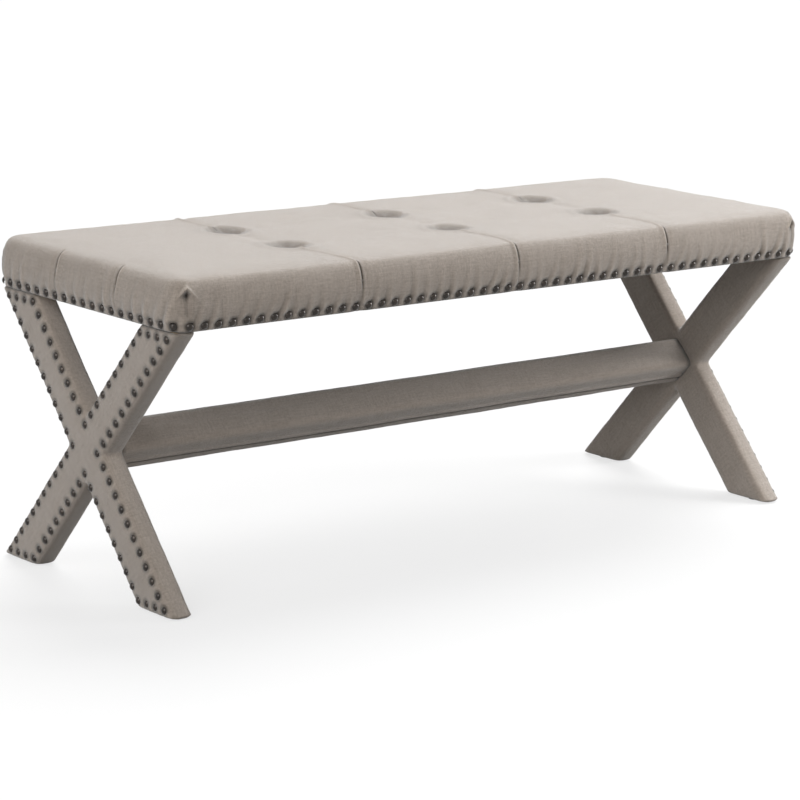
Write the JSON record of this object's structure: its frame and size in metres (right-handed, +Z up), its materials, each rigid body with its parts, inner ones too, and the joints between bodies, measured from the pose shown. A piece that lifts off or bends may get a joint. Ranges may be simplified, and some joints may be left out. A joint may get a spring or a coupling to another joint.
{
  "type": "upholstered bench",
  "caption": "Long padded bench with a blind-tufted fabric seat, domed nail trim, and two X-shaped covered leg frames joined by a square stretcher set on its corner.",
  "frame": {"origin": "on the floor, under the middle of the bench", "axes": "+X along the seat towards its right end, -Y towards the front, +Z up"},
  "size_m": [1.2272, 0.4642, 0.485],
  "materials": {
    "upholstery": "linen-like weave, pale greige",
    "wadding": "polyester wadding, white",
    "foam": "upholstery foam, pale cream",
    "dust_cloth": "thin black non-woven cloth",
    "twine": "waxed tufting twine",
    "pine": "planed softwood, unfinished",
    "plywood": "sanded plywood",
    "beech": "turned beech dowels",
    "nail_bronze": "antique bronze, domed and lightly worn",
    "steel": "zinc-plated steel",
    "insert_brass": "plain brass",
    "glide_plastic": "dark brown moulded plastic"
  },
  "bodies": {
    "root": {"back_rail": "pine", "back_seat_nails": "nail_bronze", "deck_screws": "steel", "dust_cover": "dust_cloth", "dust_cover_staples": "steel", "foam_pad": "foam", "front_rail": "pine", "front_seat_nails": "nail_bronze", "glides": "glide_plastic", "lap_screws": "steel", "left_backward_bar": "pine", "left_cross_rail": "pine", "left_end_rail": "pine", "left_forward_bar": "pine", "left_leg_cover": "upholstery", "left_leg_nails": "nail_bronze", "left_leg_wadding": "wadding", "left_seat_nails": "nail_bronze", "leg_bolt_washers": "steel", "leg_bolts": "steel", "leg_dowels": "beech", "leg_inserts": "insert_brass", "rail_dowels": "beech", "right_backward_bar": "pine", "right_cross_rail": "pine", "right_end_rail": "pine", "right_forward_bar": "pine", "right_leg_cover": "upholstery", "right_leg_nails": "nail_bronze", "right_leg_wadding": "wadding", "right_seat_nails": "nail_bronze", "seat_cover": "upholstery", "seat_deck": "plywood", "seat_wadding": "wadding", "stretcher_bolt_washers": "steel", "stretcher_bolts": "steel", "stretcher_core": "pine", "stretcher_cover": "upholstery", "stretcher_dowels": "beech", "stretcher_inserts": "insert_brass", "stretcher_wadding": "wadding", "tuft_twines": "twine", "tuft_washers": "steel"}
  },
  "joints": []
}
